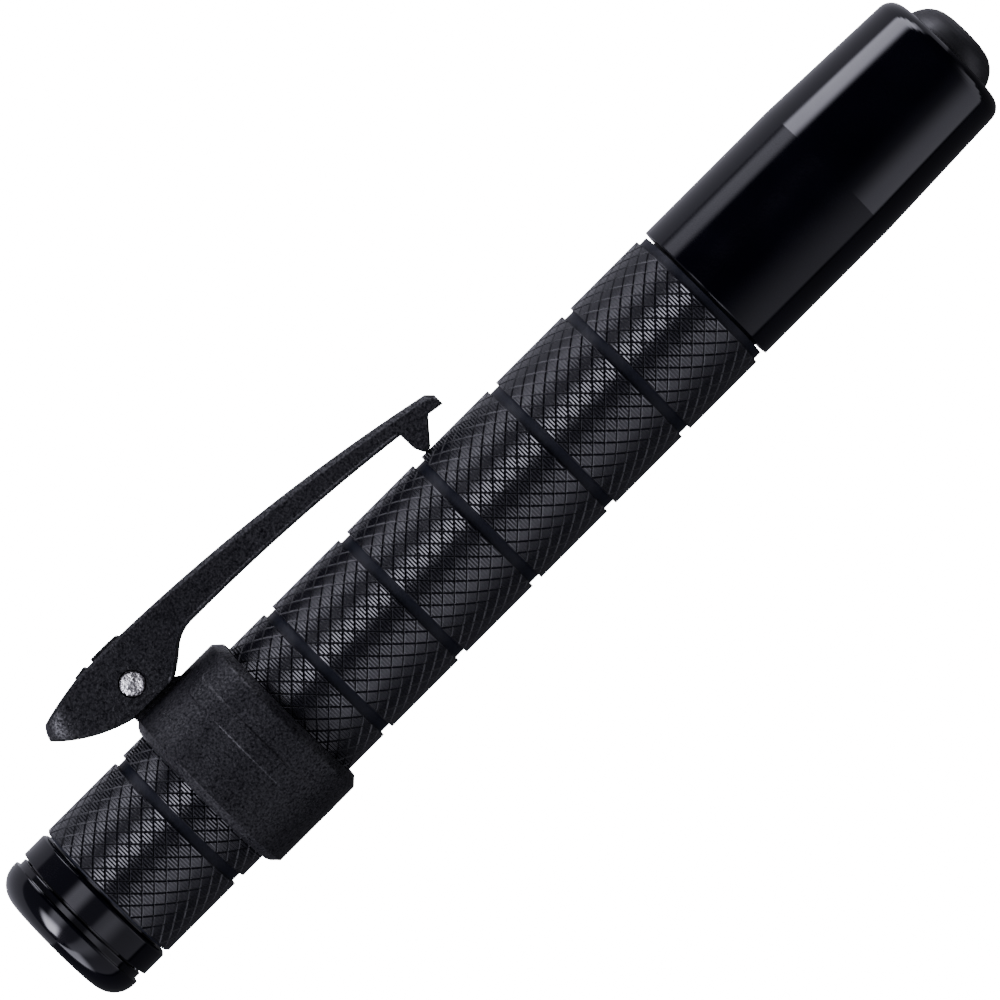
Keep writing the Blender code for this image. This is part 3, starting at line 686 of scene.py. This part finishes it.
# Lever, seen from the top: (s, half width)
LEVER_PLAN = [(13.6, 1.3), (14.0, 1.95), (14.3, 2.4), (14.55, 2.67), (14.8, 2.87), (15.1, 3.05),
              (15.5, 3.23), (16.0, 3.38), (16.6, 3.47), (17.4, 3.5), (26.0, 3.5), (29.0, 3.38),
              (32.0, 3.2), (36.0, 2.98), (40.0, 2.8), (57.0, 2.62), (64.0, 2.6)]


def outline_points(corners, step=0.25):
    """Points along an outline whose stretches are shallow arcs: (s, r, bulge) corners."""
    points = []
    for (s0, r0, bulge), (s1, r1, _) in zip(corners, corners[1:]):
        chord = math.hypot(s1 - s0, r1 - r0)
        count = 1 if bulge == 0 else max(2, round(chord / step))
        for i in range(count):
            t = i / count
            lift = 4 * bulge * t * (1 - t) / chord
            points.append((s0 + (s1 - s0) * t - (r1 - r0) * lift,
                           r0 + (r1 - r0) * t + (s1 - s0) * lift))
    points.append(corners[-1][:2])
    return points


def level_at(points, s):
    return float(np.interp(s, [p[0] for p in points], [p[1] for p in points]))


THUMB_LEAN, LEAN_R = 0.33, 14.6     # lean of the thumb end's sections, and the radius they lean about
SLOT_HALF_WIDTH, HOLLOW_HALF_WIDTH, RECESS_HALF_WIDTH = 2.4, 1.5, 2.8


def lever_stations():
    """Where the lever's sections are, closest together at its ends and at its tooth."""
    spans = [(13.64, 16.0, 20), (16.2, 33.0, 60), (33.6, 58.2, 50), (58.34, 59.6, 8), (59.9, 63.2, 14)]
    corners = [58.28, 58.295, 58.315, 58.335, 62.61, 62.7, 63.0, 63.36]
    return sorted({round(s, 3) for span in spans for s in np.linspace(*span)} | set(corners))


def lever_body():
    """The lever as a solid of bevelled sections, with a bead along the arm's lower edges."""
    over = outline_points(LEVER_OUTLINE[:TOP_CORNERS])
    under = outline_points(LEVER_OUTLINE[TOP_CORNERS:] + LEVER_OUTLINE[:1])[::-1]
    shape = bmesh.new()
    rings = []
    for base_s in lever_stations():
        lean = THUMB_LEAN * (1 - smooth(base_s, 15.6, 18.5)) * smooth(base_s, 13.6, 14.2)
        arm = smooth(base_s, 25.8, 26.6) * (1 - smooth(base_s, 58.15, 58.3))
        thumb = 1 - smooth(base_s, 20.0, 22.5)
        tooth = smooth(base_s, 58.25, 58.4)
        top, low = level_at(over, base_s), level_at(under, base_s)
        for _ in range(4):      # settles on where a leaning section meets the outline
            top = level_at(over, base_s + lean * (top - LEAN_R))
            low = level_at(under, base_s + lean * (low - LEAN_R))
        height = max(0.02, top - low)
        high_cut = min(0.42 * height, 0.3 + 0.25 * smooth(base_s, 26, 44))
        high_in = high_cut * 0.85
        low_cut = min(0.4 * height, 0.1 + 0.35 * thumb + 0.1 * tooth)
        bead_out, bead_tall = 0.14 * arm, 0.28 * min(1.0, height)
        wide = level_at(LEVER_PLAN, base_s)
        shoulder = low + low_cut
        side = [(0.0, low), (wide - low_cut, low),
                (wide - low_cut * 0.3 + bead_out, low + low_cut * 0.3),
                (wide + bead_out, shoulder), (wide + bead_out, shoulder + bead_tall * 0.4),
                (wide + bead_out * 0.5, shoulder + bead_tall * 0.7), (wide, shoulder + bead_tall),
                (wide, low + (height - high_cut) * 0.5 + low_cut * 0.5), (wide, top - high_cut - 0.05),
                (wide - 0.03, top - high_cut), (wide - high_in + 0.03, top - 0.03),
                (wide - high_in - 0.04, top), (0.0, top)]
        rings.append([shape.verts.new(at(base_s + lean * (r - LEAN_R), r, z))
                      for z, r in side + [(-z, r) for z, r in side[-2:0:-1]]])
    bridge(shape, rings)
    for ring in (rings[0], rings[-1]):
        middle = shape.verts.new(sum((v.co for v in ring), Vector()) / len(ring))
        for k in range(len(ring)):
            shape.faces.new([ring[k], ring[(k + 1) % len(ring)], middle])
    return solid_from("lever", shape), under


def lever():
    """The lever: its body, with a slot for the ears, a hollow under the arm, and the pad's recess."""
    base, under = lever_body()
    slot = filleted([(19.0, 8.0, 0), (19.6, 14.2, 0.6), (20.4, 14.9, 0.5), (26.6, 14.9, 0.5),
                     (27.7, 13.6, 0.6), (27.7, 8.0, 0)], 0.3, 4)
    below = [(s, level_at(under, s) - 1.0) for s in np.linspace(27.2, 57.0, 40)]
    ceiling = [(s, level_at(under, s) + 0.95 - 0.6 * smooth(s, 50, 57))
               for s in np.linspace(57.0, 28.4, 40)]
    hollow = below + ceiling + [(27.2, 13.5)]
    recess = filleted([(19.35, 15.95), (25.6, 15.95), (25.6, 18.0, 0), (19.35, 18.0, 0)], 0.15, 3)
    cuts = [prism(slot, -SLOT_HALF_WIDTH, SLOT_HALF_WIDTH),
            prism(hollow, -HOLLOW_HALF_WIDTH, HOLLOW_HALF_WIDTH),
            prism(recess, -RECESS_HALF_WIDTH, RECESS_HALF_WIDTH),
            prism(circle(PIVOT_S, PIVOT_R, PIN_BORE_R), -4, 4)]
    sink = circle(PIVOT_S, PIVOT_R, PIN_SINK_R, 64)
    cuts += [prism(sink, PIN_SINK_FLOOR, 4.0), prism(sink, -4.0, -PIN_SINK_FLOOR)]
    mesh = combined("clip_arm", base, [("DIFFERENCE", cut) for cut in cuts])
    piece("clip_arm", finish_mesh(mesh, 28), [PLASTIC], "lever", ["clip_lever"])


PAD_START, PAD_END, PAD_HALF_WIDTH, PAD_FOOT_R = 19.62, 25.33, 2.5, 15.97
PAD_CROWN = [(PAD_START, 16.70), (20.95, 16.88), (22.2, 16.93), (24.2, 16.93), (PAD_END, 16.86)]
NOTCH_START, NOTCH_END, NOTCH_WALL, NOTCH_FLOOR_R = 20.93, 21.93, 0.06, 16.6
PAD_ROUND, PAD_DROP = 0.09, 0.07        # width of its rounded edges, and how far they fall


def pad():
    """The thumb pad: a slab with a crowned top, parted by a notch across it."""
    columns = 24

    def top(s, z):
        crown = level_at(PAD_CROWN, s)
        notch = (smooth(s, NOTCH_START, NOTCH_START + NOTCH_WALL)
                 * (1 - smooth(s, NOTCH_END, NOTCH_END + NOTCH_WALL)))
        edge = min(s - PAD_START, PAD_END - s, PAD_HALF_WIDTH - abs(z))
        return crown + (NOTCH_FLOOR_R - crown) * notch - PAD_DROP * (1 - smooth(edge, 0, PAD_ROUND))

    stops = list(np.linspace(PAD_START, PAD_END, 40))
    stops += [PAD_START + k * 0.03 for k in (1, 2, 3)] + [PAD_END - k * 0.03 for k in (1, 2, 3)]
    stops += [wall + k * 0.02 for wall in (NOTCH_START, NOTCH_END) for k in range(4)]
    across = [-PAD_HALF_WIDTH * math.cos(math.pi * j / columns) for j in range(columns + 1)]
    shape = bmesh.new()
    grid = [[shape.verts.new(at(s, top(s, z), z)) for z in across]
            for s in sorted(round(stop, 3) for stop in stops)]
    rows = len(grid) - 1
    for i in range(rows):
        for j in range(columns):
            shape.faces.new([grid[i][j], grid[i + 1][j], grid[i + 1][j + 1], grid[i][j + 1]])
    rim = ([grid[i][0] for i in range(rows)] + [grid[rows][j] for j in range(columns)]
           + [grid[i][columns] for i in range(rows, 0, -1)] + [grid[0][j] for j in range(columns, 0, -1)])
    foot = []
    for vert in rim:
        low = vert.co.copy()
        low.y = at(0, PAD_FOOT_R).y
        foot.append(shape.verts.new(low))
    for k in range(len(rim)):
        n = (k + 1) % len(rim)
        shape.faces.new([rim[k], foot[k], foot[n], rim[n]])
    shape.faces.new(foot)
    piece("thumb_rest", finish_mesh(solid_from("thumb_rest", shape), 35), [PAD], "lever",
          ["thumb_pad"])


def rivet():
    """The clip's pin, with a domed head at each end."""
    half = PIN_HEAD + [(PIN_SHANK_R, PIN_HEAD[-1][1]), (PIN_SHANK_R, 0.0)]
    profile = half + [(r, -z) for r, z in half[-2::-1]]
    count = 48
    shape = bmesh.new()
    rings = []
    for r, z in profile:
        if r == 0:
            rings.append([shape.verts.new(at(PIVOT_S, PIVOT_R, z))] * count)
            continue
        rings.append([shape.verts.new(at(s, q, z)) for s, q in circle(PIVOT_S, PIVOT_R, r, count)])
    bridge(shape, rings)
    piece("rivet", finish_mesh(solid_from("rivet", shape), 40), [RIVET], "collar",
          ["pivot_pin"])


def tube(name, centres, wire_r, mat, body, stands_for=()):
    """Round wire along a line of world points."""
    sides, radius = 12, wire_r * MM
    shape = bmesh.new()
    rings = []
    across = None
    for i, centre in enumerate(centres):
        ahead = (centres[min(i + 1, len(centres) - 1)] - centres[max(i - 1, 0)]).normalized()
        if across is None:
            across = ahead.orthogonal().normalized()
        across = (across - ahead * across.dot(ahead)).normalized()
        other = ahead.cross(across)
        rings.append([shape.verts.new(centre + (across * math.cos(2 * math.pi * k / sides)
                                                + other * math.sin(2 * math.pi * k / sides)) * radius)
                      for k in range(sides)])
    bridge(shape, rings)
    for ring in (rings[0], rings[-1]):
        shape.faces.new(ring)
    return piece(name, finish_mesh(solid_from(name, shape), 40), [mat], body, stands_for)


SPRING_TURNS, SPRING_R, SPRING_WIRE_R, SPRING_HALF_WIDTH = 3.25, 1.3, 0.22, 0.95


def clip_spring():
    """A torsion spring round the pin: coil and lower leg on the collar, upper leg on the lever."""
    def near_pin(s, r, z):
        return at(PIVOT_S + s, PIVOT_R + r, z)

    half = SPRING_HALF_WIDTH
    steps = 130
    turned = []
    for i in range(steps + 1):
        angle = 2 * math.pi * SPRING_TURNS * i / steps - math.pi / 2
        turned.append(near_pin(SPRING_R * math.cos(angle), SPRING_R * math.sin(angle),
                               -half + 2 * half * i / steps))
    low_leg = [near_pin(-1.6, -2.1, -half), near_pin(-0.7, -1.5, -half)]
    tube("spring_coil", low_leg + turned, SPRING_WIRE_R, STEEL, "collar", ["clip_spring"])
    end = turned[-1]
    high_leg = [end + Vector((0, -0.4, 0)) * MM, end + Vector((0, 0.1, 0)) * MM,
                near_pin(-0.6, 1.75, half), near_pin(-2.9, 1.75, half)]
    tube("spring_leg", high_leg, SPRING_WIRE_R, STEEL, "lever")


def coil(turns, start, end, start_r, end_r, per_turn=36):
    """World points of a coil round the pen's axis, from start to end along it."""
    count = int(turns * per_turn)
    points = []
    for i in range(count + 1):
        t, angle = i / count, 2 * math.pi * turns * i / count
        radius = start_r + (end_r - start_r) * t
        points.append(at(start + (end - start) * t, radius * math.cos(angle), radius * math.sin(angle)))
    return points


def tail_springs():
    """The battery contact spring, and the switch's return spring, which its plunger presses."""
    battery_coil = coil(BATTERY_SPRING_TURNS, BATTERY_SPRING_START, BATTERY_SPRING_END,
                        BATTERY_SPRING_BASE_R, BATTERY_SPRING_TIP_R)
    tube("contact_spring", battery_coil, BATTERY_SPRING_WIRE_R, STEEL, "tail_core",
         ["battery_spring"])
    switch_coil = coil(SWITCH_SPRING_TURNS, SWITCH_SPRING_START, SWITCH_SPRING_END,
                       SWITCH_SPRING_R, SWITCH_SPRING_R)
    spring = tube("return_spring", switch_coil, SWITCH_SPRING_WIRE_R, STEEL, None,
                  ["switch_spring"])
    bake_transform(spring)


def neck_thread():
    """The thread that the tail cap screws on to."""
    points = coil(THREAD_TURNS, THREAD_START, THREAD_END, THREAD_R, THREAD_R, 72)
    tube("neck_thread", points, THREAD_WIRE_R, GROOVE, "body")


barrel()
neck_thread()
gloss_parts()
light_parts()
button()
tail_springs()
collar()
lever()
pad()
rivet()
clip_spring()

for node, mat in {
        "lens_seal": RUBBER, "head_seal": RUBBER, "tail_seal": RUBBER,
        "led_emitter": CERAMIC, "led_board": BOARD, "driver_board": BOARD,
        "switch_board": BOARD, "led_holder": BRASS, "driver_contact": BRASS,
        "switch_retainer": BRASS, "battery_front": CELL, "battery_rear": CELL,
        "switch_housing": SWITCH, "switch_plunger": SWITCH}.items():
    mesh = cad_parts[node].data
    mesh.materials.clear()
    mesh.materials.append(mat)


# ---------------------------------------------------------------- stage, lights and camera

def math_node(tree, operation, first, second):
    """The result of an operation on two values, each a number or a socket."""
    node = tree.nodes.new("ShaderNodeMath")
    node.operation = operation
    for socket, value in zip(node.inputs, (first, second)):
        if isinstance(value, (int, float)):
            socket.default_value = value
        else:
            tree.links.new(value, socket)
    return node.outputs[0]


def soft_step(tree, value, middle, softness, rising=True):
    """A step from 0 to 1 at the middle value, or from 1 to 0."""
    node = tree.nodes.new("ShaderNodeMapRange")
    node.interpolation_type = "SMOOTHSTEP"
    node.inputs["From Min"].default_value = middle - softness / 2
    node.inputs["From Max"].default_value = middle + softness / 2
    node.inputs["To Min"].default_value = 0.0 if rising else 1.0
    node.inputs["To Max"].default_value = 1.0 if rising else 0.0
    tree.links.new(value, node.inputs["Value"])
    return node.outputs["Result"]


# The studio round the pen, as soft panels seen from it. Each has its lower and upper angle round the
# pen's long axis in degrees, from straight above and positive towards the clip, with the softness of
# each edge; its reach along the pen, as the x part of a direction, with its softness; its brightness.
PANELS = [
    ((69, 12), (93, 14), (0.02, 0.012), (0.085, 0.01), 1.75),   # clip-side strip
    ((70, 14), (97, 9), (0.085, 0.01), (0.8, 0.2), 6.6),        # its bright end, past the tail
    ((11, 14), (34, 14), (-0.9, 0.1), (-0.035, 0.02), 2.1),      # high window at the head
    ((12, 16), (50, 18), (-0.95, 0.04), (-0.62, 0.4), 14.0),     # bright panel in front of the head
    ((-46, 26), (-19, 10), (-0.9, 0.1), (-0.035, 0.02), 0.95),   # far window at the head
    ((-95, 5), (-30, 20), (-0.9, 0.1), (-0.035, 0.02), 0.38),    # far wall at the head
    ((-100, 8), (-42, 10), (-1.0, 0.0), (-0.8, 0.2), 4.2),       # low panel in front of the head
    ((-96, 5), (-50, 70), (-0.035, 0.02), (0.9, 0.2), 0.43),     # far wall
    ((-96, 5), (-57, 34), (0.085, 0.01), (0.9, 0.2), 0.75),      # far wall past the tail
    ((99, 6), (179.5, 1), (-1.0, 0.0), (1.0, 0.0), 0.5),         # pale table on the clip side
    ((-179.5, 1), (-101, 4), (-1.0, 0.0), (1.0, 0.0), 0.05),     # dark table on the far side
    ((28, 6), (98, 4), (-1.0, 0.0), (-0.045, 0.01), 0.11),       # room at the head, clip side
    ((-16, 4), (10, 8), (-1.0, 0.0), (-0.045, 0.01), 0.2),       # ceiling at the head
]
ROOM_LIGHT = 0.012
STUDIO_TINT = (0.93, 0.92, 1.08)


def studio():
    """The world: the panels' light summed by direction."""
    world = bpy.data.worlds.new("studio")
    world.use_nodes = True
    tree = world.node_tree
    direction = tree.nodes.new("ShaderNodeTexCoord").outputs["Generated"]
    split = tree.nodes.new("ShaderNodeSeparateXYZ")
    tree.links.new(direction, split.inputs[0])
    x, y, z = split.outputs
    angle = math_node(tree, "MULTIPLY", math_node(tree, "ARCTAN2", y, z), 180 / math.pi)
    total = ROOM_LIGHT
    for (low, low_soft), (high, high_soft), (back, back_soft), (front, front_soft), level in PANELS:
        light = math_node(tree, "MULTIPLY", soft_step(tree, angle, low, low_soft), level)
        light = math_node(tree, "MULTIPLY", light, soft_step(tree, angle, high, high_soft, False))
        if back > -1:
            light = math_node(tree, "MULTIPLY", light, soft_step(tree, x, back, back_soft))
        if front < 1:
            light = math_node(tree, "MULTIPLY", light, soft_step(tree, x, front, front_soft, False))
        total = math_node(tree, "ADD", light, total)
    background = tree.nodes["Background"]
    background.inputs["Color"].default_value = (*STUDIO_TINT, 1)
    tree.links.new(total, background.inputs["Strength"])
    bpy.context.scene.world = world


BOWL_FLAT, BOWL_CURVE, BOWL_TOP, BOWL_DROP = 1.2, 0.8, 3.0, 0.00005     # metres
BACKDROP_GLOW = 17.0        # strong enough to show as pure white
LENS_LENGTH, CAMERA_HEIGHT, CAMERA_TURN = 347.6, 0.931, -45      # millimetres, metres and degrees
CAMERA_S, CAMERA_R = 60.68, -0.1


def backdrop():
    """A white floor that curves up into a wall all round, seen by the camera and nothing else."""
    floor_z = cad_box[0].z - BOWL_DROP
    profile = [(0.0, 0.0), (BOWL_FLAT, 0.0)]
    profile += [(BOWL_FLAT + BOWL_CURVE * math.sin(a), BOWL_CURVE * (1 - math.cos(a)))
                for a in (math.radians(10 * k) for k in range(1, 10))]
    profile += [(BOWL_FLAT + BOWL_CURVE, BOWL_TOP), (0.0, BOWL_TOP)]
    count = 48
    shape = bmesh.new()
    rings = []
    for radius, height in profile:
        if radius == 0:
            rings.append([shape.verts.new((0, 0, floor_z + height))] * count)
            continue
        rings.append([shape.verts.new((radius * math.cos(2 * math.pi * k / count),
                                       radius * math.sin(2 * math.pi * k / count), floor_z + height))
                      for k in range(count)])
    bridge(shape, rings)
    mesh = solid_from("backdrop", shape)
    mesh.shade_smooth()
    floor = loose("backdrop", mesh)
    mat, _, shader, _ = shader_of("studio_white", (0.9, 0.9, 0.9), 0.9)
    shader.inputs["Emission Color"].default_value = (1, 1, 1, 1)
    shader.inputs["Emission Strength"].default_value = BACKDROP_GLOW
    mesh.materials.append(mat)
    floor.visible_glossy = False
    floor.visible_diffuse = False
    floor.visible_transmission = False
    floor.visible_shadow = False


def camera():
    """A long lens straight above the pen, turned so that the pen lies corner to corner."""
    data = bpy.data.cameras.new("camera")
    data.sensor_width = 36.0
    data.lens = LENS_LENGTH
    data.clip_start, data.clip_end = 0.05, 10.0
    cam = bpy.data.objects.new("camera", data)
    bpy.context.scene.collection.objects.link(cam)
    cam.location = at(CAMERA_S, CAMERA_R) + Vector((0, 0, CAMERA_HEIGHT))
    cam.rotation_euler = (0, 0, math.radians(CAMERA_TURN))
    bpy.context.scene.camera = cam


studio()
backdrop()
camera()
